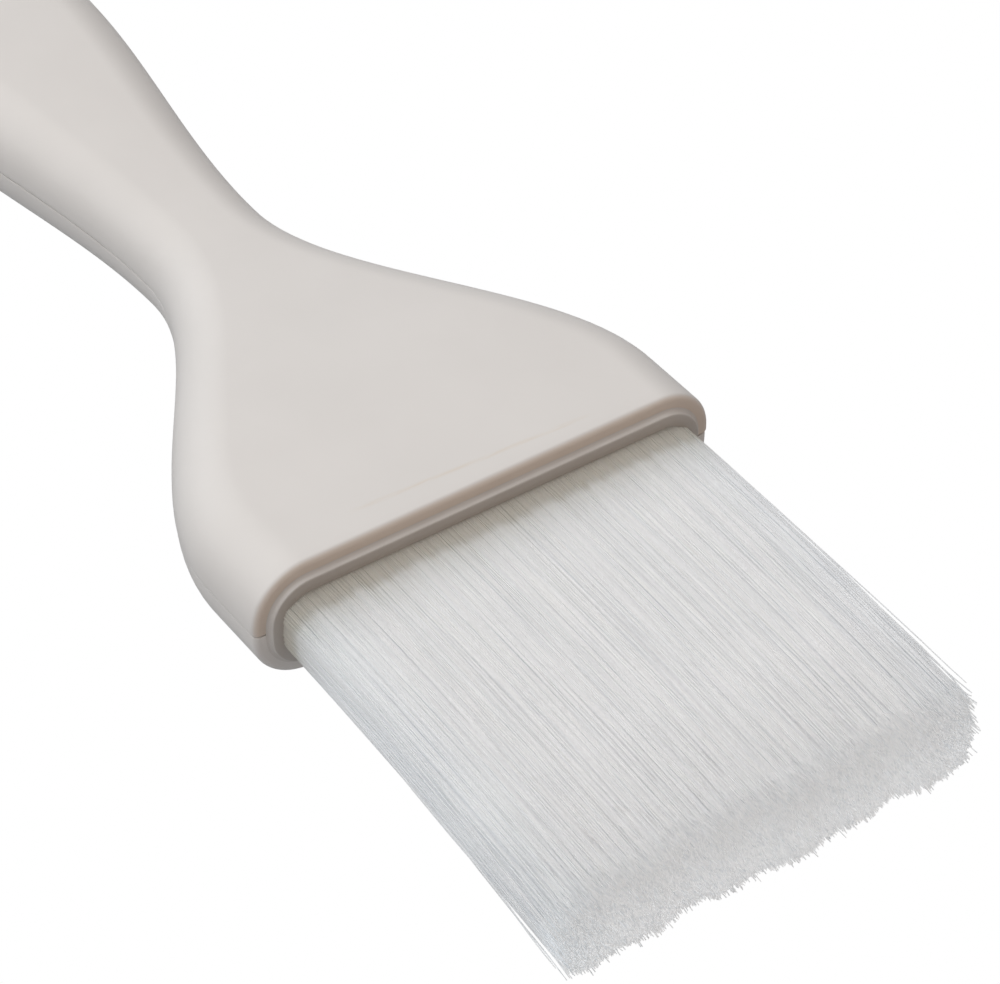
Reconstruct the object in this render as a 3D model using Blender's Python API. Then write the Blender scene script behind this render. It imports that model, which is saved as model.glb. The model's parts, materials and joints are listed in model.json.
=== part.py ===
"""A flat pastry brush with a moulded two-part handle, lying on its lower face with its filaments towards +X.

The origin is on the surface that it rests on, under the middle of its length. Distances called "back" run from
the mouth, where the filaments come out, towards the hanging hole.
"""

import math

import bmesh
import bpy
from mathutils import Vector

# Whole brush, in metres
HANDLE_LENGTH = 0.176
FILAMENT_REACH = 0.049
MOUTH_X = (HANDLE_LENGTH - FILAMENT_REACH) / 2
THICKNESS = 0.0142
MIDDLE_Z = THICKNESS / 2

# Handle outline: a straight head, a narrow neck, a wide grip and a round tail
HEAD_HALF_WIDTH = 0.028
HEAD_STRAIGHT = 0.009
NECK_BACK = 0.055
NECK_HALF_WIDTH = 0.0078
GRIP_BACK = 0.106
GRIP_HALF_WIDTH = 0.0135
TAIL_RADIUS = 0.0105
TAIL_CENTRE_BACK = HANDLE_LENGTH - TAIL_RADIUS
TAPER_END_BACK = 0.154

# Handle thickness, as half of it above and below the seam
HEAD_FLAT = 0.016
NECK_HALF_THICKNESS = 0.0059
GRIP_FLAT_START = 0.098
GRIP_FLAT_END = 0.116
TAIL_HALF_THICKNESS = 0.0052

# Handle section
SIDE_ROUND_SHARE = 0.9
ROUND_STEPS = 6
LIP_ROUND = 0.0007
LIP_STEPS = 3
STATION_STEP = 0.003
HOLLOW_STEP = 0.008
TAIL_STEPS = 9
SEAM_GAP = 0.0002
FIT_GAP = 0.0003

# Inside of the handle
LIP_WALL = 0.0013
SOCKET_DEPTH = 0.0133
HOLLOW_WALL = 0.0022
HOLLOW_START = 0.016
HOLLOW_END = 0.150
HANG_HOLE_RADIUS = 0.0045
HANG_HOLE_FLARE = 0.0008
HANG_HOLE_SIDES = 32

# Collar ring and resin block
COLLAR_PROUD = 0.0012
COLLAR_WALL = 0.0013
COLLAR_EDGE = 0.00035
COLLAR_BACK = SOCKET_DEPTH - FIT_GAP
RESIN_FRONT_BACK = 0.0021
CORNER_STEPS = 7

# Filament pack
ROOT_PIVOT_AHEAD = COLLAR_PROUD + 0.001
BEND_PIVOT_AHEAD = 0.025
PACK_TIP_HALF_WIDTH = 0.0253
PACK_TIP_HALF_THICKNESS = 0.0035
PACK_CORNER_SHARE = 0.75
PACK_DROOP = 0.0028
PIVOT_STEPS = 6
PACK_STATIONS = 5

SMOOTH_ANGLE = math.radians(35)


def ease(value, start, end, first, last):
    """first before start, last after end, and an S-curve between them."""
    share = min(max((value - start) / (end - start), 0.0), 1.0)
    return first + (last - first) * share * share * (3 - 2 * share)


def half_width(back):
    """Half of the handle's width, up to the centre of its round tail."""
    if back < NECK_BACK:
        return ease(back, HEAD_STRAIGHT, NECK_BACK, HEAD_HALF_WIDTH, NECK_HALF_WIDTH)
    if back < GRIP_BACK:
        return ease(back, NECK_BACK, GRIP_BACK, NECK_HALF_WIDTH, GRIP_HALF_WIDTH)
    return ease(back, GRIP_BACK, TAPER_END_BACK, GRIP_HALF_WIDTH, TAIL_RADIUS)


def half_thickness(back):
    """The height of the handle's face above the seam. The head and the grip reach the resting surface."""
    if back < NECK_BACK:
        return ease(back, HEAD_FLAT, NECK_BACK, MIDDLE_Z, NECK_HALF_THICKNESS)
    if back < GRIP_FLAT_END:
        return ease(back, NECK_BACK, GRIP_FLAT_START, NECK_HALF_THICKNESS, MIDDLE_Z)
    return ease(back, GRIP_FLAT_END, HANDLE_LENGTH, MIDDLE_Z, TAIL_HALF_THICKNESS)


def outline(start, end, step):
    """Points along one side, each with its distance back, half width and normal, and on round the tail if it goes there."""
    points = []
    last_back = min(end, TAIL_CENTRE_BACK)
    count = round((last_back - start) / step)
    for index in range(count + 1):
        back = start + (last_back - start) * index / count
        slope = (half_width(back + 1e-5) - half_width(back - 1e-5)) / 2e-5
        length = math.hypot(slope, 1)
        points.append((back, half_width(back), -slope / length, 1 / length))
    if end > TAIL_CENTRE_BACK:
        for index in range(1, TAIL_STEPS + 1):
            angle = math.pi / 2 * index / TAIL_STEPS
            along, across = math.sin(angle), math.cos(angle)
            points.append(
                (TAIL_CENTRE_BACK + TAIL_RADIUS * along, TAIL_RADIUS * across, along, across)
            )
    return points


def handle_ring(point, inset, seam_height, up, first_back=0.0):
    """One closed ring of a handle half through an outline point, from the left seam over the face to the right seam.

    The ring follows the outline's normals inwards, but no nearer to the mouth than first_back.
    """
    back, half, normal_back, normal_side = point
    side = []
    for step in range(-1, ROUND_STEPS + 1):
        angle = math.pi / 2 * max(step, 0) / ROUND_STEPS
        round_radius = SIDE_ROUND_SHARE * half_thickness(back)
        inward = inset + (round_radius - inset) * (1 - math.cos(angle))
        at_back = max(back - inward * normal_back, first_back)
        at_side = half - inward * normal_side
        radius = SIDE_ROUND_SHARE * half_thickness(at_back)
        height = half_thickness(at_back) - radius + (radius - inset) * math.sin(angle)
        if step < 0:
            height = seam_height
        side.append((MOUTH_X - at_back, at_side, MIDDLE_Z + up * height))
    left = [Vector(place) for place in side]
    right = [Vector((x, -y, z)) for x, y, z in reversed(side)]
    return left + right


def lip_rings(seam_height, up):
    """The rings that round the handle's edge over at the mouth."""
    rings = []
    for step in range(LIP_STEPS, 0, -1):
        angle = math.pi / 2 * step / LIP_STEPS
        back = LIP_ROUND * (1 - math.sin(angle))
        inset = LIP_ROUND * (1 - math.cos(angle))
        rings.append(handle_ring((back, HEAD_HALF_WIDTH, 0.0, 1.0), inset, seam_height, up))
    return rings


def rounded_rectangle(x, half_wide, half_high, corner, centre_z=MIDDLE_Z):
    """A closed loop of points in the plane at x."""
    loop = []
    for quarter in range(4):
        centre_y = (half_wide - corner) * (1 if quarter in (0, 3) else -1)
        centre_up = (half_high - corner) * (1 if quarter in (0, 1) else -1)
        for step in range(CORNER_STEPS + 1):
            angle = math.pi / 2 * (quarter + step / CORNER_STEPS)
            y = centre_y + corner * math.cos(angle)
            z = centre_z + centre_up + corner * math.sin(angle)
            loop.append(Vector((x, y, z)))
    return loop


def circle(radius, x, z):
    """A closed level loop of points about the vertical through x."""
    loop = []
    for side in range(HANG_HOLE_SIDES):
        angle = 2 * math.pi * side / HANG_HOLE_SIDES
        loop.append(Vector((x + radius * math.cos(angle), radius * math.sin(angle), z)))
    return loop


def loft(name, loops, origin=(0.0, 0.0, 0.0), tube=False, first_cap=True, last_cap=True):
    """A closed object through loops that all have as many points. A tube's last loop joins its first.

    An end whose loop closes on itself, as a flattened loop does, takes no cap.
    """
    mesh = bpy.data.meshes.new(name)
    shape = bmesh.new()
    rows = [[shape.verts.new(point - Vector(origin)) for point in loop] for loop in loops]
    pairs = list(zip(rows, rows[1:] + rows[:1])) if tube else list(zip(rows, rows[1:]))
    for near, far in pairs:
        for index in range(len(near)):
            following = (index + 1) % len(near)
            shape.faces.new((near[index], near[following], far[following], far[index]))
    if first_cap and not tube:
        shape.faces.new(rows[0])
    if last_cap and not tube:
        shape.faces.new(rows[-1])
    bmesh.ops.remove_doubles(shape, verts=shape.verts, dist=1e-6)
    bmesh.ops.dissolve_degenerate(shape, edges=shape.edges, dist=1e-6)
    bmesh.ops.recalc_face_normals(shape, faces=shape.faces)
    shape.to_mesh(mesh)
    shape.free()
    mesh.shade_smooth()
    mesh.set_sharp_from_angle(angle=SMOOTH_ANGLE)
    made = bpy.data.objects.new(name, mesh)
    made.location = origin
    bpy.context.scene.collection.objects.link(made)
    return made


def cut(target, cutter):
    """Takes a cutter's shape out of an object."""
    cutter.hide_render = True
    cutter.display_type = "WIRE"
    modifier = target.modifiers.new(cutter.name, "BOOLEAN")
    modifier.operation = "DIFFERENCE"
    modifier.solver = "EXACT"
    modifier.object = cutter


def material(name, colour, roughness, transmission=0.0):
    """A Principled material, with its colour as linear red, green and blue."""
    made = bpy.data.materials.new(name)
    made.use_nodes = True
    shader = made.node_tree.nodes["Principled BSDF"]
    shader.inputs["Base Color"].default_value = (*colour, 1.0)
    shader.inputs["Roughness"].default_value = roughness
    shader.inputs["Metallic"].default_value = 0.0
    shader.inputs["Transmission Weight"].default_value = transmission
    return made


def handle_plastic():
    return material("handle_plastic", (0.67, 0.64, 0.61), 0.32)


def collar_plastic():
    return material("collar_plastic", (0.62, 0.59, 0.56), 0.35)


def resin():
    return material("resin", (0.55, 0.42, 0.24), 0.25, 0.3)


def filament_nylon():
    return material("filament_nylon", (0.80, 0.81, 0.83), 0.4)


def hollow_cutter(up):
    """The space inside one handle half, from behind the collar's seat to the solid tail."""
    rings = []
    for point in outline(HOLLOW_START, HOLLOW_END, HOLLOW_STEP):
        rings.append(handle_ring(point, HOLLOW_WALL, -FIT_GAP, up, HOLLOW_START))
    return loft(f"hollow_cutter_{'upper' if up > 0 else 'lower'}", rings)


def socket_cutter():
    """The pocket at the mouth that holds the collar ring."""
    high = MIDDLE_Z - LIP_WALL
    corner = SIDE_ROUND_SHARE * MIDDLE_Z - LIP_WALL
    wide = HEAD_HALF_WIDTH - LIP_WALL
    ends = (MOUTH_X - SOCKET_DEPTH, MOUTH_X + FILAMENT_REACH / 2)
    return loft("socket_cutter", [rounded_rectangle(x, wide, high, corner) for x in ends])


def hang_hole_cutter():
    """The hanging hole through the tail, with softened rims."""
    x = MOUTH_X - TAIL_CENTRE_BACK
    face = half_thickness(TAIL_CENTRE_BACK)
    wide = HANG_HOLE_RADIUS + HANG_HOLE_FLARE
    levels = (
        (wide + HANG_HOLE_FLARE, -face - HANG_HOLE_FLARE),
        (HANG_HOLE_RADIUS, -face + HANG_HOLE_FLARE),
        (HANG_HOLE_RADIUS, face - HANG_HOLE_FLARE),
        (wide + HANG_HOLE_FLARE, face + HANG_HOLE_FLARE),
    )
    return loft("hang_hole_cutter", [circle(radius, x, MIDDLE_Z + height) for radius, height in levels])


def handle_half(name, up, socket, hang_hole, plastic):
    """One half of the handle, above the seam if up is 1 and below it if up is -1."""
    seam_height = SEAM_GAP / 2
    rings = lip_rings(seam_height, up)
    for point in outline(LIP_ROUND, HANDLE_LENGTH, STATION_STEP):
        rings.append(handle_ring(point, 0.0, seam_height, up))
    half = loft(name, rings, last_cap=False)
    half.data.materials.append(plastic)
    for cutter in (hollow_cutter(up), socket, hang_hole):
        cut(half, cutter)
    return half


def collar_ring(plastic):
    """The ring in the mouth that surrounds the roots. Its front edges are softened."""
    outer_wide = HEAD_HALF_WIDTH - LIP_WALL - FIT_GAP
    outer_high = MIDDLE_Z - LIP_WALL - FIT_GAP
    outer_corner = SIDE_ROUND_SHARE * MIDDLE_Z - LIP_WALL - FIT_GAP
    back = MOUTH_X - COLLAR_BACK
    front = MOUTH_X + COLLAR_PROUD
    stations = (
        (back, 0.0),
        (front - COLLAR_EDGE, 0.0),
        (front, COLLAR_EDGE),
        (front, COLLAR_WALL - COLLAR_EDGE),
        (front - COLLAR_EDGE, COLLAR_WALL),
        (back, COLLAR_WALL),
    )
    loops = []
    for x, inset in stations:
        loops.append(rounded_rectangle(x, outer_wide - inset, outer_high - inset, outer_corner - inset))
    ring = loft("collar_ring", loops, tube=True)
    ring.data.materials.append(plastic)
    return ring


def pack_root_size():
    """(half width, half thickness) of the filament pack where it leaves the collar."""
    walls = LIP_WALL + COLLAR_WALL + 2 * FIT_GAP
    return HEAD_HALF_WIDTH - walls, MIDDLE_Z - walls


def resin_block(resin_look):
    """The cast block inside the collar that the filaments' roots are set in."""
    wide, high = pack_root_size()
    ends = (MOUTH_X - COLLAR_BACK, MOUTH_X - RESIN_FRONT_BACK)
    corner = PACK_CORNER_SHARE * high
    block = loft("resin_block", [rounded_rectangle(x, wide, high, corner) for x in ends])
    block.data.materials.append(resin_look)
    return block


def pack_share(ahead):
    """How far along the free filaments a distance ahead of the mouth is, from 0 to 1."""
    share = (ahead - ROOT_PIVOT_AHEAD) / (FILAMENT_REACH - ROOT_PIVOT_AHEAD)
    return min(max(share, 0.0), 1.0)


def pack_section(ahead):
    """(half width, half thickness, centre height) of the filament pack at a distance ahead of the mouth."""
    share = pack_share(ahead)
    root_wide, root_high = pack_root_size()
    wide = root_wide + (PACK_TIP_HALF_WIDTH - root_wide) * share
    high = root_high + (PACK_TIP_HALF_THICKNESS - root_high) * share
    return wide, high, MIDDLE_Z - PACK_DROOP * share * share


def turned_back(loop, centre_z):
    """Loops that turn a section back about the level line through its middle, from a flat edge to the section."""
    loops = []
    for step in range(PIVOT_STEPS):
        angle = math.pi / 2 * step / PIVOT_STEPS
        turned = []
        for point in loop:
            above = point.z - centre_z
            behind = abs(above) * math.cos(angle)
            turned.append(Vector((point.x - behind, point.y, centre_z + above * math.sin(angle))))
        loops.append(turned)
    return loops


def filament_half(name, pivot_ahead, end_ahead, look):
    """A stretch of the filament pack whose back is turned about its pivot, so that it stays clear as it swings."""
    wide, high, centre = pack_section(pivot_ahead)
    corner = PACK_CORNER_SHARE * high
    loops = turned_back(rounded_rectangle(MOUTH_X + pivot_ahead, wide, high, corner, centre), centre)
    for station in range(PACK_STATIONS):
        ahead = pivot_ahead + (end_ahead - pivot_ahead) * station / (PACK_STATIONS - 1)
        wide, high, level = pack_section(ahead)
        loops.append(rounded_rectangle(MOUTH_X + ahead, wide, high, PACK_CORNER_SHARE * high, level))
    half = loft(name, loops, origin=(MOUTH_X + pivot_ahead, 0.0, centre), first_cap=False)
    half.data.materials.append(look)
    return half


def filament_pack(look):
    """The free filaments: a root half that turns at the mouth, and a tip half that turns in mid length."""
    bend_high = pack_section(BEND_PIVOT_AHEAD)[1]
    root_end = BEND_PIVOT_AHEAD - bend_high - FIT_GAP
    root = filament_half("filament_root_half", ROOT_PIVOT_AHEAD, root_end, look)
    tip = filament_half("filament_tip_half", BEND_PIVOT_AHEAD, FILAMENT_REACH, look)
    tip.location -= root.location
    tip.parent = root


def build():
    for existing in list(bpy.data.objects):
        bpy.data.objects.remove(existing)
    plastic = handle_plastic()
    socket = socket_cutter()
    hang_hole = hang_hole_cutter()
    handle_half("handle_upper_half", 1, socket, hang_hole, plastic)
    handle_half("handle_lower_half", -1, socket, hang_hole, plastic)
    collar_ring(collar_plastic())
    resin_block(resin())
    filament_pack(filament_nylon())


build()
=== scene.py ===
"""The looks of a flat pastry brush: satin plastic handle halves, a collar and many nylon filaments.

Lengths are in metres. "back" is a distance from the mouth towards the hanging hole, "ahead" is one
towards the tips, and "share" runs from 0 to 1. A noise is given as (cycles per metre, detail), and one
that is stretched has its factors along x, y and z as a third value.
"""

import json
import math

import bmesh
import bpy
import numpy as np
from mathutils import Matrix, Vector


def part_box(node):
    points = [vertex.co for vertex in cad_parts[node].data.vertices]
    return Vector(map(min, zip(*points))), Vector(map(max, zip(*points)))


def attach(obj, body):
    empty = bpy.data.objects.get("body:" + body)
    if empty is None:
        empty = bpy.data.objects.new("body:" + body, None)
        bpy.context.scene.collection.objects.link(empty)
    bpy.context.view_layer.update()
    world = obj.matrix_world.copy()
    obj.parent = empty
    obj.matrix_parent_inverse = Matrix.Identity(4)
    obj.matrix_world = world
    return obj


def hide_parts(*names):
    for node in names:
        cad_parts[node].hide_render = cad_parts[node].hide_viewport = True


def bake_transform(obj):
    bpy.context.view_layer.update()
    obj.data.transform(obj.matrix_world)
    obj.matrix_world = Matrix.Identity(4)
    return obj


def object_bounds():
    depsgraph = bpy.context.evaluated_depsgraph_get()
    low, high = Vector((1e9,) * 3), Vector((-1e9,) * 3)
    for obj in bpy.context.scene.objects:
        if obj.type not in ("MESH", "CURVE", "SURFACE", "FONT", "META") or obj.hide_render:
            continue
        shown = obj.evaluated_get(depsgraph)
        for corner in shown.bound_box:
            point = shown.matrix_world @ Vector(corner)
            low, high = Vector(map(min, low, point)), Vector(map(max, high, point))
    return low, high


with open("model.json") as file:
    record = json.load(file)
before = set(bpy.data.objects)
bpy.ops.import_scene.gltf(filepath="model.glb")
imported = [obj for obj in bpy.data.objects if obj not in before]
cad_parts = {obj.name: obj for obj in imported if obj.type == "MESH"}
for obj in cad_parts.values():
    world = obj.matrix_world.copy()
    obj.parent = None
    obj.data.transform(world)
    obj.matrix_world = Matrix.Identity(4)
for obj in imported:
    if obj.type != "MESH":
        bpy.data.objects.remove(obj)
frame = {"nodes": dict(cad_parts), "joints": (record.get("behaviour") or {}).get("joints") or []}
cad_low, cad_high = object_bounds()

# Sizes that the frame gives
UPPER_LOW, UPPER_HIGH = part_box("handle_upper_half")
LOWER_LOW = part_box("handle_lower_half")[0]
COLLAR_LOW, COLLAR_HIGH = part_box("collar_ring")
ROOT_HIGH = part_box("filament_root_half")[1]
TIP_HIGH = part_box("filament_tip_half")[1]
JOINTS = {joint["name"]: Vector(joint["pos_m"]) for joint in frame["joints"]}
MOUTH_X = UPPER_HIGH.x
HANDLE_LENGTH = UPPER_HIGH.x - UPPER_LOW.x
HEAD_HALF_WIDTH = UPPER_HIGH.y
MIDDLE_Z = (UPPER_HIGH.z + LOWER_LOW.z) / 2
HALF_THICKNESS = UPPER_HIGH.z - MIDDLE_Z
FREE_LENGTH = TIP_HIGH.x - MOUTH_X

# Handle outline and thickness, as designed in CAD
HEAD_STRAIGHT = 0.009
NECK_BACK = 0.055
NECK_HALF_WIDTH = 0.0078
GRIP_BACK = 0.106
GRIP_HALF_WIDTH = 0.0135
TAPER_END_BACK = 0.154
TAIL_RADIUS = 0.0105
TAIL_CENTRE_BACK = HANDLE_LENGTH - TAIL_RADIUS
HEAD_FLAT = 0.016
NECK_HALF_THICKNESS = 0.0059
GRIP_FLAT_START = 0.098
GRIP_FLAT_END = 0.116
TAIL_HALF_THICKNESS = 0.0052
SIDE_ROUND_SHARE = 0.9

# Fine edges and how finely the plastic is divided
LIP_ROUND = 0.0007
LIP_STEPS = 8
SEAM_HEIGHT = 0.0001
SEAM_ROUND = 0.00018
LOWER_STEP_HEAD = 0.00015
LOWER_STEP_GRIP = 0.0001
SEAM_STEPS = 4
SIDE_STEPS = 16
STATION_STEP = 0.0015
SLOPE_STEP = 0.00001
WELD_DISTANCE = 0.0000001
TAIL_STEPS = 24
COLLAR_SEAT_GAP = 0.00003
SOCKET_DEPTH = 0.0133
EDGE_ROUND = 0.00002
HANG_HOLE_RADIUS = 0.0045
HANG_HOLE_FLARE = 0.0008
HOLE_STEPS = 6
HOLE_SIDES = 72
CORNER_STEPS = 12
COLLAR_PROUD = 0.00065
COLLAR_STEP_IN = 0.0002
COLLAR_WALL = 0.0016
COLLAR_ROUND = 0.0002
COLLAR_BEAD = 0.0004
COLLAR_ROUND_STEPS = 4
SMOOTH_ANGLE = math.radians(35)

# Filaments: how many, how finely each is divided, and how far from each joint its rings are spread
FILAMENT_COUNT = 18000
PACK_ASPECT = 6.6
FILAMENT_RADIUS = 0.000086
FILAMENT_SIDES = 4
BATCHES = 7
SEED = 11
GOLDEN_SHARE = 0.618
INSIDE_COLLAR = -0.0018
ROOT_BEND = (-0.0018, 0.009)
TIP_BEND = (-0.007, 0.009)
SPLIT_AHEAD = JOINTS["tip_flex"].x + TIP_BEND[0] - MOUTH_X
ROOT_STATIONS = 6
TIP_STATIONS = (0.0, 0.13, 0.26, 0.39, 0.52, 0.75, 0.9, 1.0)

# Filaments: the pack's shape, and how far single filaments stray from it
ACROSS_JITTER = 0.35
LEVEL_JITTER = 0.25
CORNER_POWERS = (14, 4)
ROOT_HALF_HIGH = 0.00355
TIP_HALF_HIGH = 0.0035
DROOP = 0.0028
LEFT_SPLAY = -0.0002
RIGHT_SPLAY = -0.0007
LEAN_SIDE = 0.006
LEAN_UP = 0.004
UPWARD_PART = 0.6
CLUMP_LEAN = 0.0005
CLUMP_TURNS = 61
CLUMP_SWAY = 2.3
CLUMP_SWAY_TURNS = (5, 17)
WAVE_HEIGHTS = (0.00001, 0.00007)
WAVE_LENGTHS = (0.018, 0.045)
STRAY_SHARE = 0.03
STRAY_EDGE_SHARE = 0.12
STRAY_EDGE_POWER = 20
STRAY_LEAN = 0.012
STRAY_OUTWARD_POWER = 5
STRAY_WAVE = 3
THICKNESS_RANGE = (0.85, 1.15)
TIP_TAPER = 0.42
TIP_TAPER_POWER = 6
FLICK = 0.0003
FLICK_SHARE = 0.1
MOST_AHEAD_SHARE = 1.1

# Filaments: the cut line at the tips
CUT_AHEAD = 0.0003
CUT_WAVE = 0.0003
CUT_WAVE_TURNS = (7, 19)
CUT_WAVE_PHASES = (1.0, 0.4)
CUT_RIPPLE = 0.0002
CUT_RIPPLE_TURNS = (67, 3)
UPPER_BEVEL = 0.0018
UPPER_BEVEL_START = -0.4
UPPER_BEVEL_POWER = 1.5
LOWER_BEVEL = 0.0008
RIGHT_CORNER_CUT = 0.0035
RIGHT_CORNER_START = 0.86
CUT_SCATTER = 0.0004
EARLY_SHARE = 0.12
EARLY_BACK = (0.0005, 0.007)
LATE_SHARE = 0.015
LATE_AHEAD = (0.0, 0.001)

# Plastic
WHITE = (1.0, 1.0, 1.0)
HANDLE_DARK = (0.69, 0.67, 0.652)
HANDLE_LIGHT = (0.71, 0.69, 0.672)
COLLAR_DARK = (0.60, 0.575, 0.55)
COLLAR_LIGHT = (0.64, 0.615, 0.59)
FLOW_CLOUDS = (90.0, 3.0)
FLOW_DARK_TO = 0.3
FLOW_LIGHT_FROM = 0.7
PLASTIC_HAZE = (420.0, 4.0)
PLASTIC_ROUGHNESS = (0.27, 0.41)
PLASTIC_PEEL = (650.0, 1.0)
PEEL_DEPTH = 0.000012
# Painted shade on the front faces of the lip and collar, given as tints that darken them
FRONT_SHADE_START = 0.4
LIP_PAINTED_SHADE = (0.98, 0.88, 0.79)
COLLAR_PAINTED_SHADE = (0.80, 0.79, 0.78)
SCUFF_TINT = (0.965, 0.92, 0.86)
SCUFF_BACK = 0.00307
SCUFF_SLANT = 0.049
SCUFF_HALF_WIDTH = 0.0004
SCUFF_REACH = 0.0145
SCUFF_FADE = 0.8
SCUFF_BREAKS = (1.0, 3.0, (2500.0, 260.0, 1.0))
SCUFF_PATCHES = (0.3, 0.6)

# Nylon: the painted glow (emission) is given as (tip share, strength), and the tints as (position, colour)
TIP_SHARE = "tip_share"
LEVEL_GLOW_LOSS = 0.12
LEVEL_GLOW_START = -0.2
NYLON_GLOW = (
    (0.0, 0.18),
    (0.3, 0.184),
    (0.5, 0.168),
    (0.7, 0.16),
    (0.8, 0.184),
    (0.88, 0.335),
    (1.0, 0.47),
)
NYLON_STREAKS = ((0.3, (0.86, 0.865, 0.875)), (0.5, (0.895, 0.895, 0.90)), (0.75, (0.915, 0.915, 0.915)))
STREAK_NOISE = (1.0, 2.0, (30.0, 3200.0, 3200.0))
NYLON_SPECKLE = ((0.36, (0.78, 0.80, 0.81)), (0.56, WHITE))
SPECKLE_NOISE = (1.0, 1.0, (1200.0, 9000.0, 9000.0))
SPECKLE_START = 0.7
NYLON_GLOSS = (1.0, 1.0, (120.0, 5000.0, 5000.0))
NYLON_ROUGHNESS = (0.35, 0.55)
NYLON_SPECULAR = 0.35
NYLON_TRANSLUCENT_SHARE = 0.5
# Root tints: resin stain right at the roots, then painted shadow of the lip and collar fading out ahead
ROOT_STAIN_AND_SHADOW = (
    (0.12, (0.765, 0.735, 0.68)),
    (0.18, (0.765, 0.745, 0.70)),
    (0.29, (0.885, 0.88, 0.865)),
    (0.46, (0.935, 0.935, 0.93)),
    (0.67, (0.975, 0.975, 0.975)),
    (1.0, WHITE),
)
STAIN_AND_SHADOW_REACH = 0.009
STAIN_AND_SHADOW_RAGGED = 0.002
STAIN_AND_SHADOW_EDGE = (1.0, 2.0, (60.0, 900.0, 900.0))
EDGE_TINT = (0.985, 0.995, 1.0)
EDGE_TINT_START = 0.7
CUT_END_SPECKLE = ((0.36, (0.70, 0.72, 0.73)), (0.56, (0.97, 0.98, 0.98)))
CUT_END_GRAIN = (9000.0, 1.0)
CUT_END_ROUGHNESS = 0.6
CUT_END_GLOW = (0.55, 0.65)
CUT_END_GLOW_START = 0.88

# Resin
RESIN_COLOURS = ((0.3, (0.42, 0.30, 0.16)), (0.7, (0.62, 0.49, 0.30)))
RESIN_CLOUDS = (500.0, 3.0)
RESIN_ROUGHNESS = 0.25
RESIN_UNEVENNESS = 0.00005

# Studio: the light comes from one wide part of the room
FLOOR_REACH = 6.0
FLOOR_BOUNCE = (0.42, 0.435, 0.45)
LIGHT_FROM = (-0.38, -0.33, 0.87)
LIGHT_EDGE = 0.3
LIGHT_FADE = 0.6
LIGHT_COLOUR = (1.0, 0.995, 0.99)
LIGHT_STRENGTH = 1.5
ROOM_STRENGTH = 0.31
WARM_FROM = (1.0, 0.2, 0.2)
WARM_ROOM = (1.0, 0.68, 0.46)
COOL_ROOM = (0.80, 0.85, 0.90)
LIGHT_BOUNCES = 12

# Camera: where it looks from, and at what, a little behind the mouth and to the right of the middle
CAMERA_AZIMUTH = math.radians(55.02)
CAMERA_ELEVATION = math.radians(41.17)
CAMERA_ROLL = math.radians(0.22)
CAMERA_DISTANCE = 0.36945
CAMERA_TARGET_BACK = 0.00443
CAMERA_TARGET_RIGHT = 0.00446
CAMERA_TARGET = Vector((MOUTH_X - CAMERA_TARGET_BACK, CAMERA_TARGET_RIGHT, MIDDLE_Z))
CAMERA_LENS = 129.6
CAMERA_SENSOR = 36.0
CAMERA_NEAR = 0.01


def ease(value, start, end, first, last):
    """first before start, last after end, and an S-curve between them."""
    share = min(max((value - start) / (end - start), 0.0), 1.0)
    return first + (last - first) * share * share * (3 - 2 * share)


def half_width(back):
    """Half of the handle's width, up to the centre of its round tail."""
    if back < NECK_BACK:
        return ease(back, HEAD_STRAIGHT, NECK_BACK, HEAD_HALF_WIDTH, NECK_HALF_WIDTH)
    if back < GRIP_BACK:
        return ease(back, NECK_BACK, GRIP_BACK, NECK_HALF_WIDTH, GRIP_HALF_WIDTH)
    return ease(back, GRIP_BACK, TAPER_END_BACK, GRIP_HALF_WIDTH, TAIL_RADIUS)


def half_thickness(back):
    """The height of the handle's face above the seam."""
    if back < NECK_BACK:
        return ease(back, HEAD_FLAT, NECK_BACK, HALF_THICKNESS, NECK_HALF_THICKNESS)
    if back < GRIP_FLAT_END:
        return ease(back, NECK_BACK, GRIP_FLAT_START, NECK_HALF_THICKNESS, HALF_THICKNESS)
    return ease(back, GRIP_FLAT_END, HANDLE_LENGTH, HALF_THICKNESS, TAIL_HALF_THICKNESS)


def outline(start):
    """Points along one side and round the tail, each with its distance back, half width and normal."""
    points = []
    count = round((TAIL_CENTRE_BACK - start) / STATION_STEP)
    for index in range(count + 1):
        back = start + (TAIL_CENTRE_BACK - start) * index / count
        slope = (half_width(back + SLOPE_STEP) - half_width(back - SLOPE_STEP)) / (2 * SLOPE_STEP)
        length = math.hypot(slope, 1)
        points.append((back, half_width(back), -slope / length, 1 / length))
    for index in range(1, TAIL_STEPS + 1):
        angle = math.pi / 2 * index / TAIL_STEPS
        along, across = math.sin(angle), math.cos(angle)
        points.append((TAIL_CENTRE_BACK + TAIL_RADIUS * along, TAIL_RADIUS * across, along, across))
    return points


def side_profile(back, inset):
    """(inward, height) points from the soft edge of the seam up the rounded side to the flat face."""
    profile = []
    for step in range(SEAM_STEPS + 1):
        angle = math.pi / 2 * step / SEAM_STEPS
        inward = inset + SEAM_ROUND * (1 - math.sin(angle))
        profile.append((inward, SEAM_HEIGHT + SEAM_ROUND * (1 - math.cos(angle))))
    radius = SIDE_ROUND_SHARE * half_thickness(back)
    for step in range(SIDE_STEPS + 1):
        angle = math.pi / 2 * step / SIDE_STEPS
        inward = inset + (radius - inset) * (1 - math.cos(angle))
        profile.append((inward, half_thickness(back) - radius + (radius - inset) * math.sin(angle)))
    return profile


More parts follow.
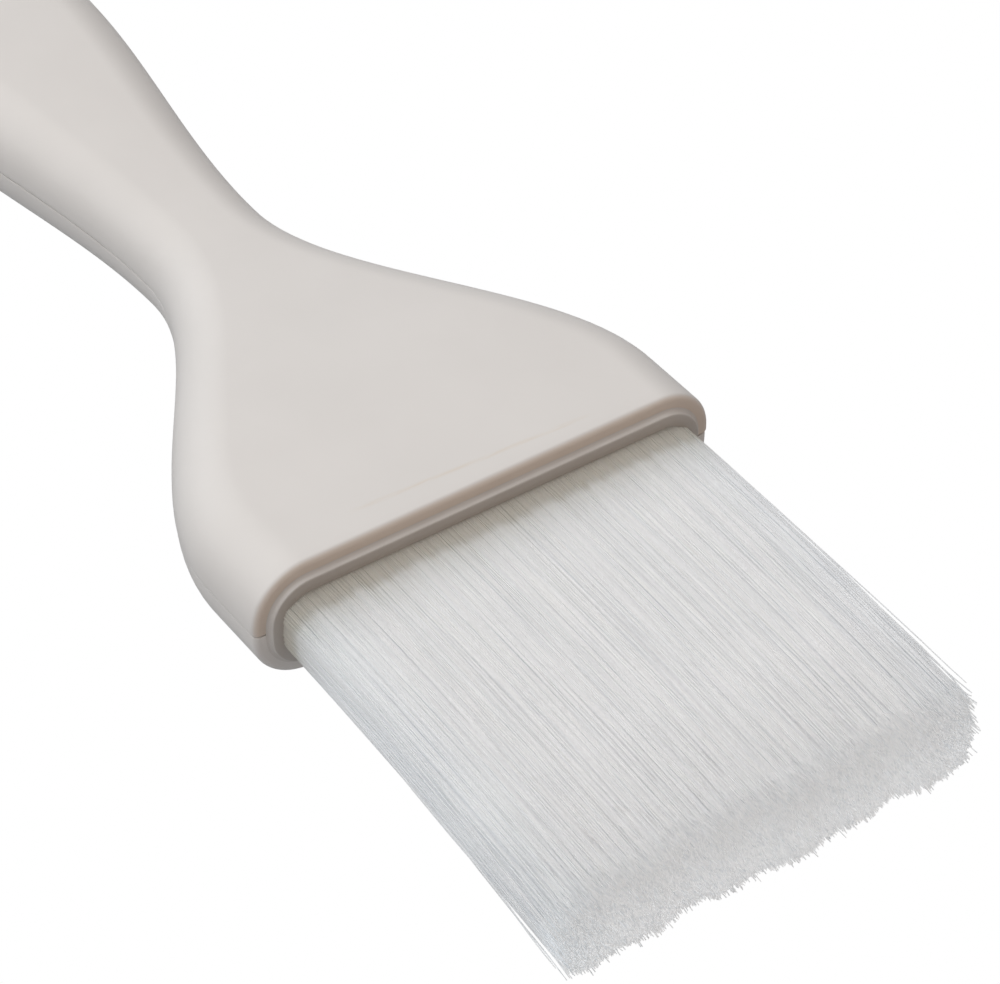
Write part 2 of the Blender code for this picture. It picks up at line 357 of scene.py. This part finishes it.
def handle_ring(point, inset, up):
    """One closed ring of a handle half through an outline point, from seam to seam over the face."""
    back, half, normal_back, normal_side = point
    if up < 0:
        half -= ease(back, HEAD_STRAIGHT, NECK_BACK, LOWER_STEP_HEAD, LOWER_STEP_GRIP)
    side = []
    for inward, height in side_profile(back, inset):
        at_back = back - inward * normal_back
        drop = half_thickness(back) - half_thickness(at_back)
        level = height - drop * inward / (SIDE_ROUND_SHARE * half_thickness(back))
        side.append((MOUTH_X - at_back, half - inward * normal_side, MIDDLE_Z + up * level))
    left = [Vector(spot) for spot in side]
    right = [Vector((x, -y, z)) for x, y, z in reversed(side)]
    return left + right


def lip_rings(up):
    """The rings that round the handle's edge over at the mouth."""
    rings = []
    for step in range(LIP_STEPS, 0, -1):
        angle = math.pi / 2 * step / LIP_STEPS
        back = LIP_ROUND * (1 - math.sin(angle))
        inset = LIP_ROUND * (1 - math.cos(angle))
        rings.append(handle_ring((back, HEAD_HALF_WIDTH, 0.0, 1.0), inset, up))
    return rings


def rounded_rectangle(x, half_wide, half_high, corner):
    """A closed loop of points in the plane at x."""
    loop = []
    for quarter in range(4):
        centre_y = (half_wide - corner) * (1 if quarter in (0, 3) else -1)
        centre_up = (half_high - corner) * (1 if quarter in (0, 1) else -1)
        for step in range(CORNER_STEPS + 1):
            angle = math.pi / 2 * (quarter + step / CORNER_STEPS)
            y = centre_y + corner * math.cos(angle)
            loop.append(Vector((x, y, MIDDLE_Z + centre_up + corner * math.sin(angle))))
    return loop


def circle(radius, x, z):
    """A closed level loop of points about the vertical through x."""
    loop = []
    for side in range(HOLE_SIDES):
        angle = 2 * math.pi * side / HOLE_SIDES
        loop.append(Vector((x + radius * math.cos(angle), radius * math.sin(angle), z)))
    return loop


def loft(name, loops, tube=False):
    """A closed mesh object through loops of equally many points. A tube's last loop joins its first."""
    mesh = bpy.data.meshes.new(name)
    shape = bmesh.new()
    rows = [[shape.verts.new(point) for point in loop] for loop in loops]
    pairs = zip(rows, rows[1:] + rows[:1]) if tube else zip(rows, rows[1:])
    for near, far in pairs:
        for index in range(len(near)):
            following = (index + 1) % len(near)
            shape.faces.new((near[index], near[following], far[following], far[index]))
    if not tube:
        shape.faces.new(rows[0])
        shape.faces.new(rows[-1])
    bmesh.ops.remove_doubles(shape, verts=shape.verts, dist=WELD_DISTANCE)
    bmesh.ops.dissolve_degenerate(shape, edges=shape.edges, dist=WELD_DISTANCE)
    bmesh.ops.recalc_face_normals(shape, faces=shape.faces)
    shape.to_mesh(mesh)
    shape.free()
    made = bpy.data.objects.new(name, mesh)
    bpy.context.scene.collection.objects.link(made)
    return made


def cut(target, cutters):
    """Takes the cutters' shapes out of an object for good."""
    for cutter in cutters:
        modifier = target.modifiers.new(cutter.name, "BOOLEAN")
        modifier.operation = "DIFFERENCE"
        modifier.solver = "EXACT"
        modifier.object = cutter
    bpy.context.view_layer.update()
    evaluated = target.evaluated_get(bpy.context.evaluated_depsgraph_get())
    target.data = bpy.data.meshes.new_from_object(evaluated)
    target.modifiers.clear()


def smooth(piece):
    """Smooth shading, with sharp edges where the surface really turns."""
    piece.data.shade_smooth()
    piece.data.set_sharp_from_angle(angle=SMOOTH_ANGLE)


def finish_piece(piece, body, slot, look, *nodes):
    """Gives a piece its material and its body, and hides the CAD nodes that it stands for. The slot is not
    used.
    """
    piece.data.materials.clear()
    piece.data.materials.append(look)
    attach(piece, body)
    if nodes:
        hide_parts(*nodes)


def new_material(name):
    """(material, node tree, Principled node)"""
    made = bpy.data.materials.new(name)
    made.use_nodes = True
    return made, made.node_tree, made.node_tree.nodes["Principled BSDF"]


def object_point(tree):
    """The point that is shaded, in the piece's own metres."""
    return tree.nodes.new("ShaderNodeTexCoord").outputs["Object"]


def noise(tree, point, scale, detail, stretch=(1.0, 1.0, 1.0)):
    """A noise value at a point, with scale in cycles per metre and an optional stretch along each axis."""
    mapping = tree.nodes.new("ShaderNodeMapping")
    mapping.inputs["Scale"].default_value = stretch
    texture = tree.nodes.new("ShaderNodeTexNoise")
    texture.inputs["Scale"].default_value = scale
    texture.inputs["Detail"].default_value = detail
    tree.links.new(point, mapping.inputs["Vector"])
    tree.links.new(mapping.outputs["Vector"], texture.inputs["Vector"])
    return texture.outputs["Fac"]


def ramp(tree, value, stops):
    """A colour ramp through (position, colour) stops."""
    node = tree.nodes.new("ShaderNodeValToRGB")
    elements = node.color_ramp.elements
    while len(elements) < len(stops):
        elements.new(0.5)  # its real position is set below
    for element, (position, colour) in zip(elements, stops):
        element.position = position
        element.color = (*colour, 1.0)
    tree.links.new(value, node.inputs["Fac"])
    return node.outputs["Color"]


def spread(tree, value, low, high):
    """A value from 0 to 1 moved to the range low to high."""
    node = tree.nodes.new("ShaderNodeMapRange")
    node.inputs["To Min"].default_value = low
    node.inputs["To Max"].default_value = high
    tree.links.new(value, node.inputs["Value"])
    return node.outputs["Result"]


def bump(tree, height, distance):
    """A normal that follows a height of up to a distance."""
    node = tree.nodes.new("ShaderNodeBump")
    node.inputs["Distance"].default_value = distance
    tree.links.new(height, node.inputs["Height"])
    return node.outputs["Normal"]


def coordinates(tree, point):
    """The three values of a point."""
    parts = tree.nodes.new("ShaderNodeSeparateXYZ")
    tree.links.new(point, parts.inputs["Vector"])
    return parts.outputs


def calculate(tree, operation, first, second=0.0):
    """One step of arithmetic on two values, each a socket or a number."""
    node = tree.nodes.new("ShaderNodeMath")
    node.operation = operation
    for socket, value in zip(node.inputs, (first, second)):
        if isinstance(value, float):
            socket.default_value = value
        else:
            tree.links.new(value, socket)
    return node.outputs["Value"]


def rise(tree, value, start, end):
    """A share that goes from 0 to 1 as a value goes from start to end."""
    node = tree.nodes.new("ShaderNodeMapRange")
    node.inputs["From Min"].default_value = start
    node.inputs["From Max"].default_value = end
    tree.links.new(value, node.inputs["Value"])
    return node.outputs["Result"]


def multiply(tree, first, second, share=1.0):
    """The first colour times the second, as far as the share says."""
    mix = tree.nodes.new("ShaderNodeMix")
    mix.data_type = "RGBA"
    mix.blend_type = "MULTIPLY"
    if isinstance(share, float):
        mix.inputs["Factor"].default_value = share
    else:
        tree.links.new(share, mix.inputs["Factor"])
    tree.links.new(first, mix.inputs["A"])
    tree.links.new(second, mix.inputs["B"])
    return mix.outputs["Result"]


def front_painted_shade(tree, point, start, end, tint):
    """Painted shade on the front of a piece, where it faces away from the light, between two distances along
    the brush.
    """
    ahead = rise(tree, coordinates(tree, point)["X"], start, end)
    return ramp(tree, ahead, [(FRONT_SHADE_START, WHITE), (1.0, tint)])


def lip_painted_shade(tree, point):
    """Painted warm shade, a tan tint, on the rounded edge of the lip, which turns away from the light."""
    return front_painted_shade(tree, point, MOUTH_X - LIP_ROUND, MOUTH_X, LIP_PAINTED_SHADE)


def collar_painted_shade(tree, point):
    """Painted shade, a greyer tint, on the collar's front edge, which turns away from the light."""
    front = MOUTH_X + COLLAR_PROUD
    return front_painted_shade(tree, point, front - COLLAR_ROUND, front, COLLAR_PAINTED_SHADE)


def scuff(tree, point):
    """A faint broken tan rub across the upper face, close behind the lip."""
    parts = coordinates(tree, point)
    line = calculate(tree, "ADD", parts["X"], calculate(tree, "MULTIPLY", parts["Y"], -SCUFF_SLANT))
    away = calculate(tree, "ABSOLUTE", calculate(tree, "SUBTRACT", line, MOUTH_X - SCUFF_BACK))
    near = rise(tree, away, SCUFF_HALF_WIDTH, 0.0)
    aside = calculate(tree, "ABSOLUTE", parts["Y"])
    within = rise(tree, aside, SCUFF_REACH, SCUFF_FADE * SCUFF_REACH)
    patches = rise(tree, noise(tree, point, *SCUFF_BREAKS), *SCUFF_PATCHES)
    share = calculate(tree, "MULTIPLY", calculate(tree, "MULTIPLY", near, within), patches)
    return ramp(tree, share, [(0.0, WHITE), (1.0, SCUFF_TINT)])


def plastic(name, dark, light, *marks_and_shades):
    """Satin moulded plastic: faint flow clouds, uneven gloss, a shallow orange peel, and the tints it is
    given: real marks and painted shade.
    """
    made, tree, shader = new_material(name)
    point = object_point(tree)
    clouds = noise(tree, point, *FLOW_CLOUDS)
    colour = ramp(tree, clouds, [(FLOW_DARK_TO, dark), (FLOW_LIGHT_FROM, light)])
    for mark_or_shade in marks_and_shades:
        colour = multiply(tree, colour, mark_or_shade(tree, point))
    tree.links.new(colour, shader.inputs["Base Color"])
    haze = noise(tree, point, *PLASTIC_HAZE)
    tree.links.new(spread(tree, haze, *PLASTIC_ROUGHNESS), shader.inputs["Roughness"])
    peel = noise(tree, point, *PLASTIC_PEEL)
    tree.links.new(bump(tree, peel, PEEL_DEPTH), shader.inputs["Normal"])
    return made


def root_stain_and_shadow(tree, point):
    """Amber resin that has crept a little way up the filaments' roots, and ahead of it a painted shadow of
    the lip and collar.
    """
    shift = calculate(tree, "MULTIPLY", noise(tree, point, *STAIN_AND_SHADOW_EDGE), -STAIN_AND_SHADOW_RAGGED)
    ragged = calculate(tree, "ADD", coordinates(tree, point)["X"], shift)
    ahead = rise(tree, ragged, MOUTH_X, MOUTH_X + STAIN_AND_SHADOW_REACH)
    return ramp(tree, ahead, ROOT_STAIN_AND_SHADOW)


def edge_tint(tree, point):
    """A bluish tint towards the pack's sides, where it is thin enough to see light through."""
    aside = calculate(tree, "ABSOLUTE", coordinates(tree, point)["Y"])
    share = rise(tree, aside, EDGE_TINT_START * TIP_HIGH.y, TIP_HIGH.y)
    return ramp(tree, share, [(0.0, WHITE), (1.0, EDGE_TINT)])


def guide(tree):
    """How far a point of a filament is from the tip joint towards the filament's end."""
    node = tree.nodes.new("ShaderNodeAttribute")
    node.attribute_name = TIP_SHARE
    return node.outputs["Fac"]


def nylon():
    """Fine white nylon that lets light through, with streaks along the filaments and a painted glow,
    emission that lifts the shade in the pack and brightens the tips.
    """
    made, tree, shader = new_material("filament_nylon_look")
    point = object_point(tree)
    tip_share = guide(tree)
    streaks = ramp(tree, noise(tree, point, *STREAK_NOISE), NYLON_STREAKS)
    speckle = ramp(tree, noise(tree, point, *SPECKLE_NOISE), NYLON_SPECKLE)
    speckled = multiply(tree, streaks, speckle, rise(tree, tip_share, SPECKLE_START, 1.0))
    stained_and_shaded = multiply(tree, speckled, root_stain_and_shadow(tree, point))
    colour = multiply(tree, stained_and_shaded, edge_tint(tree, point))
    tree.links.new(colour, shader.inputs["Base Color"])
    tree.links.new(colour, shader.inputs["Emission Color"])
    through = tree.nodes.new("ShaderNodeBsdfTranslucent")
    tree.links.new(colour, through.inputs["Color"])
    mix = tree.nodes.new("ShaderNodeMixShader")
    mix.inputs["Fac"].default_value = NYLON_TRANSLUCENT_SHARE
    tree.links.new(shader.outputs["BSDF"], mix.inputs[1])
    tree.links.new(through.outputs["BSDF"], mix.inputs[2])
    tree.links.new(mix.outputs["Shader"], tree.nodes["Material Output"].inputs["Surface"])
    gloss = noise(tree, point, *NYLON_GLOSS)
    tree.links.new(spread(tree, gloss, *NYLON_ROUGHNESS), shader.inputs["Roughness"])
    shader.inputs["Specular IOR Level"].default_value = NYLON_SPECULAR
    # Painted glow: emission that lifts the shade between the filaments and brightens the tips
    glowing = ramp(tree, tip_share, [(share, (level,) * 3) for share, level in NYLON_GLOW])
    tree.links.new(glowing, shader.inputs["Emission Strength"])
    return made


def cut_ends():
    """The filaments' cut ends, with a painted glow: emission that stands in for light that entered along
    their length.
    """
    made, tree, shader = new_material("filament_end_look")
    colour = ramp(tree, noise(tree, object_point(tree), *CUT_END_GRAIN), CUT_END_SPECKLE)
    tree.links.new(colour, shader.inputs["Base Color"])
    tree.links.new(colour, shader.inputs["Emission Color"])
    shader.inputs["Roughness"].default_value = CUT_END_ROUGHNESS
    glowing = spread(tree, rise(tree, guide(tree), CUT_END_GLOW_START, 1.0), *CUT_END_GLOW)
    tree.links.new(glowing, shader.inputs["Emission Strength"])
    return made


def resin():
    """Cast amber resin with a slightly uneven surface."""
    made, tree, shader = new_material("resin_look")
    clouds = noise(tree, object_point(tree), *RESIN_CLOUDS)
    tree.links.new(ramp(tree, clouds, RESIN_COLOURS), shader.inputs["Base Color"])
    shader.inputs["Roughness"].default_value = RESIN_ROUGHNESS
    tree.links.new(bump(tree, clouds, RESIN_UNEVENNESS), shader.inputs["Normal"])
    return made


def mouth_corner(high):
    """The corner radius that keeps a loop in the mouth evenly inside the handle, for its half height."""
    return SIDE_ROUND_SHARE * HALF_THICKNESS - (HALF_THICKNESS - high)


def socket_cutter():
    """The pocket at the mouth, with a softened rim."""
    high = COLLAR_HIGH.z - MIDDLE_Z - COLLAR_STEP_IN + COLLAR_SEAT_GAP
    corner = mouth_corner(high)
    wide = COLLAR_HIGH.y - COLLAR_STEP_IN + COLLAR_SEAT_GAP
    stations = [
        (MOUTH_X - SOCKET_DEPTH, 0.0),
        (MOUTH_X - EDGE_ROUND, 0.0),
        (MOUTH_X + EDGE_ROUND, 2 * EDGE_ROUND),
    ]
    loops = [rounded_rectangle(x, wide + grow, high + grow, corner + grow) for x, grow in stations]
    return loft("socket_cutter", loops)


def hang_hole_cutter():
    """The hanging hole through the tail, with rounded rims."""
    x = MOUTH_X - TAIL_CENTRE_BACK
    face = half_thickness(TAIL_CENTRE_BACK)
    upper = []
    for step in range(HOLE_STEPS + 1):
        angle = math.pi / 2 * step / HOLE_STEPS
        radius = HANG_HOLE_RADIUS + HANG_HOLE_FLARE * (1 - math.cos(angle))
        upper.append((radius, face - HANG_HOLE_FLARE * (1 - math.sin(angle))))
    upper.append((HANG_HOLE_RADIUS + HANG_HOLE_FLARE, face + HANG_HOLE_FLARE))
    levels = [(radius, -height) for radius, height in reversed(upper)] + upper
    return loft("hang_hole_cutter", [circle(radius, x, MIDDLE_Z + height) for radius, height in levels])


def handle_half(name, up, cutters, look, node):
    """One half of the handle, above the seam if up is 1 and below it if up is -1."""
    rings = lip_rings(up)
    for point in outline(LIP_ROUND):
        rings.append(handle_ring(point, 0.0, up))
    half = loft(name, rings)
    cut(half, cutters)
    smooth(half)
    finish_piece(half, "handle", "handle_plastic", look, node)


def handle_halves(upper_look, lower_look):
    """Both halves of the handle, with the pocket for the collar and the hanging hole cut out."""
    cutters = [socket_cutter(), hang_hole_cutter()]
    handle_half("upper_handle", 1, cutters, upper_look, "handle_upper_half")
    handle_half("lower_handle", -1, cutters, lower_look, "handle_lower_half")
    for cutter in cutters:
        bpy.data.objects.remove(cutter)


def collar(look):
    """The ring in the mouth, with fine round front edges and a hollow bead where it meets the lip."""
    wide, high = COLLAR_HIGH.y - COLLAR_STEP_IN, COLLAR_HIGH.z - MIDDLE_Z - COLLAR_STEP_IN
    corner = mouth_corner(high)
    front_x = MOUTH_X + COLLAR_PROUD
    stations = [(COLLAR_LOW.x, 0.0), (MOUTH_X + EDGE_ROUND, 0.0)]
    for step in range(COLLAR_ROUND_STEPS + 1):
        angle = math.pi / 2 * step / COLLAR_ROUND_STEPS
        ahead = EDGE_ROUND + COLLAR_BEAD * (1 - math.cos(angle))
        stations.append((MOUTH_X + ahead, -COLLAR_BEAD * (1 - math.sin(angle))))
    for step in range(COLLAR_ROUND_STEPS + 1):
        angle = math.pi / 2 * step / COLLAR_ROUND_STEPS
        x = front_x - COLLAR_ROUND * (1 - math.sin(angle))
        stations.append((x, COLLAR_ROUND * (1 - math.cos(angle))))
    front = [(x, COLLAR_WALL - inset) for x, inset in reversed(stations)]
    loops = []
    for x, inset in stations + front:
        loops.append(rounded_rectangle(x, wide - inset, high - inset, corner - inset))
    ring = loft("collar", loops, tube=True)
    smooth(ring)
    finish_piece(ring, "handle", "collar_plastic", look, "collar_ring")


def pack_half_wide(ahead_share, side):
    """Half width of the filament pack, which splays a little more on its left."""
    splay = np.where(side < 0, LEFT_SPLAY, RIGHT_SPLAY)
    return ROOT_HIGH.y + splay * ahead_share + (TIP_HIGH.y - ROOT_HIGH.y) * ahead_share


class Filaments:
    """The centre lines of all filaments, as functions of how far ahead they are."""

    def __init__(self, random):
        self.fill(random)
        self.count = len(self.side)
        count = self.count
        sway_level, sway_side = CLUMP_SWAY_TURNS
        sway = CLUMP_SWAY * np.sin(self.level * sway_level + self.side * sway_side)
        clump = np.sin(self.side * CLUMP_TURNS + sway)
        self.lean_side = random.normal(0, LEAN_SIDE, count) + CLUMP_LEAN * clump
        self.lean_up = random.normal(0, LEAN_UP, count)
        self.wave = random.uniform(*WAVE_HEIGHTS, count)
        self.let_some_stray(random)
        self.wave_length = random.uniform(*WAVE_LENGTHS, count)
        self.phase = random.uniform(0, 2 * np.pi, count)
        self.twist = random.uniform(0, 2 * np.pi, count)
        self.thick = FILAMENT_RADIUS * random.uniform(*THICKNESS_RANGE, count)
        self.reach = self.tip_reach(random)
        self.flick_side = random.normal(0, FLICK, count)
        self.flick_up = random.normal(0, FLICK, count)

    def fill(self, random):
        """Packs a round-cornered cross-section with staggered rows: side and level, each from -1 to 1."""
        columns = round(math.sqrt(FILAMENT_COUNT * PACK_ASPECT))
        rows = round(FILAMENT_COUNT / columns)
        number = np.arange(columns * rows)
        stagger = (number // columns * GOLDEN_SHARE) % 1
        jitter = random.uniform(-ACROSS_JITTER, ACROSS_JITTER, columns * rows)
        across = (number % columns + stagger + jitter) / columns
        level = (number // columns + random.uniform(LEVEL_JITTER, 1 - LEVEL_JITTER, columns * rows)) / rows
        side, level = 2 * across - 1, 2 * level - 1
        side_power, level_power = CORNER_POWERS
        inside = (np.abs(side) ** side_power + np.abs(level) ** level_power) < 1.0
        self.side, self.level = side[inside], level[inside]

    def let_some_stray(self, random):
        """Makes a few filaments lean and wave more, most of them at the sides, where they lean outwards."""
        chance = STRAY_SHARE + STRAY_EDGE_SHARE * self.side**STRAY_EDGE_POWER
        stray = random.uniform(0, 1, self.count) < chance
        outward = STRAY_LEAN * self.side**STRAY_OUTWARD_POWER
        stray_lean = random.normal(0, STRAY_LEAN, self.count) + outward
        self.lean_side = self.lean_side + np.where(stray, stray_lean, 0)
        self.wave = self.wave * np.where(stray, STRAY_WAVE, 1)

    def cut_line(self):
        """How far the cut across the tips is from straight: waves, bevels and a worn right corner."""
        line = np.zeros(self.count)
        for turns, phase in zip(CUT_WAVE_TURNS, CUT_WAVE_PHASES):
            line = line + CUT_WAVE * np.sin(self.side * turns + phase)
        side_turns, level_turns = CUT_RIPPLE_TURNS
        line = line + CUT_RIPPLE * np.sin(self.side * side_turns + level_turns * self.level)
        above = np.clip((self.level - UPPER_BEVEL_START) / (1 - UPPER_BEVEL_START), 0, 1)
        corner = np.clip((self.side - RIGHT_CORNER_START) / (1 - RIGHT_CORNER_START), 0, 1)
        line = line - UPPER_BEVEL * above**UPPER_BEVEL_POWER
        return line - LOWER_BEVEL * np.clip(-self.level, 0, 1) ** 2 - RIGHT_CORNER_CUT * corner**2

    def tip_reach(self, random):
        """How far ahead of the mouth each filament ends."""
        count = self.count
        scatter = np.abs(random.normal(0, CUT_SCATTER, count))
        early = np.where(random.uniform(0, 1, count) < EARLY_SHARE, random.uniform(*EARLY_BACK, count), 0)
        late = np.where(random.uniform(0, 1, count) < LATE_SHARE, random.uniform(*LATE_AHEAD, count), 0)
        return FREE_LENGTH + CUT_AHEAD + self.cut_line() - scatter - early + late

    def points(self, ahead):
        """Places of all filaments, for an array of distances ahead with one row per filament."""
        share = np.clip(ahead / FREE_LENGTH, 0, MOST_AHEAD_SHARE)
        lean = np.clip(ahead, 0, None)
        side = self.side[:, None]
        reach = self.reach[:, None]
        high = ROOT_HALF_HIGH + (TIP_HALF_HIGH - ROOT_HALF_HIGH) * share
        turns = ahead / self.wave_length[:, None]
        curl = self.wave[:, None] * np.sin(2 * np.pi * turns + self.phase[:, None]) * share
        flick = np.clip((ahead - (1 - FLICK_SHARE) * reach) / (FLICK_SHARE * reach), 0, 1) ** 2
        y = side * pack_half_wide(share, side) + self.lean_side[:, None] * lean + curl
        y = y + self.flick_side[:, None] * flick
        z = MIDDLE_Z + self.level[:, None] * high - DROOP * share**2
        z = z + UPWARD_PART * (self.lean_up[:, None] * lean + curl) + self.flick_up[:, None] * flick
        return np.stack([MOUTH_X + ahead, y, z], axis=2)


def tube_mesh(name, lines, radii, shares, twists, closed_end):
    """One mesh of thin tubes along lines, (tubes, stations, 3). Radii and shares are (tubes, stations)."""
    tubes, stations = lines.shape[:2]
    angles = twists[:, None] + 2 * np.pi * np.arange(FILAMENT_SIDES) / FILAMENT_SIDES
    ring = np.stack([np.zeros_like(angles), np.cos(angles), np.sin(angles)], axis=2)
    points = lines[:, :, None, :] + radii[:, :, None, None] * ring[:, None, :, :]
    index = np.arange(tubes * stations * FILAMENT_SIDES).reshape(tubes, stations, FILAMENT_SIDES)
    following = np.roll(index, -1, axis=2)
    quads = np.stack([index[:, :-1], following[:, :-1], following[:, 1:], index[:, 1:]], axis=3)
    faces = quads.reshape(-1, 4).tolist()
    mesh = bpy.data.meshes.new(name)
    if closed_end:
        faces += index[:, -1].tolist()
    mesh.from_pydata(points.reshape(-1, 3), [], faces)
    mesh.shade_smooth()
    tip_share = mesh.attributes.new(TIP_SHARE, "FLOAT", "POINT")
    tip_share.data.foreach_set("value", np.repeat(shares, FILAMENT_SIDES))
    if closed_end:
        materials = np.zeros(len(faces), dtype=np.int32)
        materials[-tubes:] = 1
        mesh.polygons.foreach_set("material_index", materials)
    made = bpy.data.objects.new(name, mesh)
    bpy.context.scene.collection.objects.link(made)
    return made


def root_stretches(pack):
    """Lines, radii and tip shares of the filaments from inside the collar to where the tips' bend starts."""
    first, last = [JOINTS["root_flex"].x + distance - MOUTH_X for distance in ROOT_BEND]
    bend = np.linspace(first, last, ROOT_STATIONS - 2)
    ahead = np.array([INSIDE_COLLAR, *bend, SPLIT_AHEAD])[None, :] * np.ones((pack.count, 1))
    radii = pack.thick[:, None] * np.ones((1, ROOT_STATIONS))
    return pack.points(ahead), radii, np.zeros((pack.count, ROOT_STATIONS))


def tip_stretches(pack):
    """Lines, radii and tip shares of the rest of the filaments. Upper ones have less share, so glow less."""
    ahead = SPLIT_AHEAD + np.array(TIP_STATIONS)[None, :] * (pack.reach[:, None] - SPLIT_AHEAD)
    from_pivot = ahead - (JOINTS["tip_flex"].x - MOUTH_X)
    shares = np.clip(from_pivot / from_pivot[:, -1:], 0, 1)
    radii = pack.thick[:, None] * (1 - TIP_TAPER * shares**TIP_TAPER_POWER)
    above = np.clip((pack.level[:, None] - LEVEL_GLOW_START) / (1 - LEVEL_GLOW_START), 0, 1)
    return pack.points(ahead), radii, shares * (1 - LEVEL_GLOW_LOSS * above)


def filaments(look, end_look):
    """All filaments, in batches: a root stretch from inside the collar past the mouth and a tip stretch
    ahead of it.
    """
    pack = Filaments(np.random.default_rng(SEED))
    root_parts, tip_parts = root_stretches(pack), tip_stretches(pack)
    for batch in range(BATCHES):
        mine = slice(batch, None, BATCHES)
        twists = pack.twist[mine]
        name = f"filament_roots_{batch + 1}"
        roots = tube_mesh(name, *[part[mine] for part in root_parts], twists, False)
        name = f"filament_tips_{batch + 1}"
        tips = tube_mesh(name, *[part[mine] for part in tip_parts], twists, True)
        for piece, node in ((roots, "filament_root_half"), (tips, "filament_tip_half")):
            piece.data.materials.append(look)
            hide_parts(node)
        tips.data.materials.append(end_look)
        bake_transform(roots)
        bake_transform(tips)


def resin_block(look):
    """The resin block, which keeps its CAD shape."""
    block = frame["nodes"]["resin_block"]
    block.data.materials.clear()
    block.data.materials.append(look)


def white_to_camera(tree, white, other):
    """A shader that is plain white to the camera and another shader to the rays that light the brush."""
    path = tree.nodes.new("ShaderNodeLightPath")
    mix = tree.nodes.new("ShaderNodeMixShader")
    tree.links.new(path.outputs["Is Camera Ray"], mix.inputs["Fac"])
    tree.links.new(other, mix.inputs[1])
    tree.links.new(white, mix.inputs[2])
    return mix.outputs["Shader"]


def stage():
    """A plain pale floor, evenly white to the camera, low enough for the filaments to bend down fully."""
    made, tree, shader = new_material("floor")
    shader.inputs["Base Color"].default_value = (*FLOOR_BOUNCE, 1.0)
    shader.inputs["Roughness"].default_value = 1.0
    white = tree.nodes.new("ShaderNodeEmission")
    surface = white_to_camera(tree, white.outputs["Emission"], shader.outputs["BSDF"])
    tree.links.new(surface, tree.nodes["Material Output"].inputs["Surface"])
    level = cad_low.z - (TIP_HIGH.x - JOINTS["root_flex"].x)
    corners = [(x * FLOOR_REACH, y * FLOOR_REACH, level) for x, y in ((-1, -1), (1, -1), (1, 1), (-1, 1))]
    mesh = bpy.data.meshes.new("floor")
    mesh.from_pydata(corners, [], [(0, 1, 2, 3)])
    mesh.materials.append(made)
    floor = bpy.data.objects.new("floor", mesh)
    bpy.context.scene.collection.objects.link(floor)


def facing(tree, towards, start, end):
    """A share that rises from 0 to 1 as a direction in the room turns towards a given one."""
    turned = tree.nodes.new("ShaderNodeVectorMath")
    turned.operation = "DOT_PRODUCT"
    turned.inputs[1].default_value = Vector(towards).normalized()
    tree.links.new(tree.nodes.new("ShaderNodeTexCoord").outputs["Generated"], turned.inputs[0])
    share = tree.nodes.new("ShaderNodeMapRange")
    share.interpolation_type = "SMOOTHSTEP"
    share.inputs["From Min"].default_value = start
    share.inputs["From Max"].default_value = end
    tree.links.new(turned.outputs["Value"], share.inputs["Value"])
    return share.outputs["Result"]


def glow(tree, colour, strength):
    """A plain light from the whole room."""
    background = tree.nodes.new("ShaderNodeBackground")
    background.inputs["Strength"].default_value = strength
    background.inputs["Color"].default_value = (*colour, 1.0)
    return background


def studio_light():
    """One very large soft light above and behind, in a dim room that is warm in front and cool elsewhere."""
    world = bpy.data.worlds.new("studio")
    world.use_nodes = True
    tree = world.node_tree
    room = glow(tree, WHITE, ROOM_STRENGTH)
    sides = ramp(tree, facing(tree, WARM_FROM, 0.0, 1.0), [(0.0, COOL_ROOM), (1.0, WARM_ROOM)])
    tree.links.new(sides, room.inputs["Color"])
    softbox = glow(tree, LIGHT_COLOUR, LIGHT_STRENGTH)
    lit = tree.nodes.new("ShaderNodeMixShader")
    tree.links.new(facing(tree, LIGHT_FROM, LIGHT_EDGE, LIGHT_EDGE + LIGHT_FADE), lit.inputs["Fac"])
    tree.links.new(room.outputs["Background"], lit.inputs[1])
    tree.links.new(softbox.outputs["Background"], lit.inputs[2])
    white = glow(tree, WHITE, 1.0)
    seen = white_to_camera(tree, white.outputs["Background"], lit.outputs["Shader"])
    tree.links.new(seen, tree.nodes["World Output"].inputs["Surface"])
    scene = bpy.context.scene
    scene.world = world
    scene.view_settings.view_transform = "Standard"
    scene.cycles.max_bounces = LIGHT_BOUNCES
    scene.cycles.diffuse_bounces = LIGHT_BOUNCES


def camera():
    """A long lens above the front left corner of the brush."""
    level = math.cos(CAMERA_ELEVATION)
    east, south = math.sin(CAMERA_AZIMUTH) * level, -math.cos(CAMERA_AZIMUTH) * level
    back = Vector((east, south, math.sin(CAMERA_ELEVATION)))
    flat_right = Vector((math.cos(CAMERA_AZIMUTH), math.sin(CAMERA_AZIMUTH), 0))
    flat_up = back.cross(flat_right)
    right = flat_right * math.cos(CAMERA_ROLL) + flat_up * math.sin(CAMERA_ROLL)
    up = back.cross(right)
    data = bpy.data.cameras.new("camera")
    data.lens = CAMERA_LENS
    data.sensor_width = CAMERA_SENSOR
    data.clip_start = CAMERA_NEAR
    view = bpy.data.objects.new("camera", data)
    turn = Matrix((right, up, back)).transposed().to_4x4()
    view.matrix_world = Matrix.Translation(CAMERA_TARGET + back * CAMERA_DISTANCE) @ turn
    bpy.context.scene.collection.objects.link(view)
    bpy.context.scene.camera = view


camera()
studio_light()
stage()
upper_look = plastic("upper_plastic_look", HANDLE_DARK, HANDLE_LIGHT, lip_painted_shade, scuff)
handle_halves(upper_look, plastic("lower_plastic_look", HANDLE_DARK, HANDLE_LIGHT))
collar(plastic("collar_plastic_look", COLLAR_DARK, COLLAR_LIGHT, collar_painted_shade))
filaments(nylon(), cut_ends())
resin_block(resin())
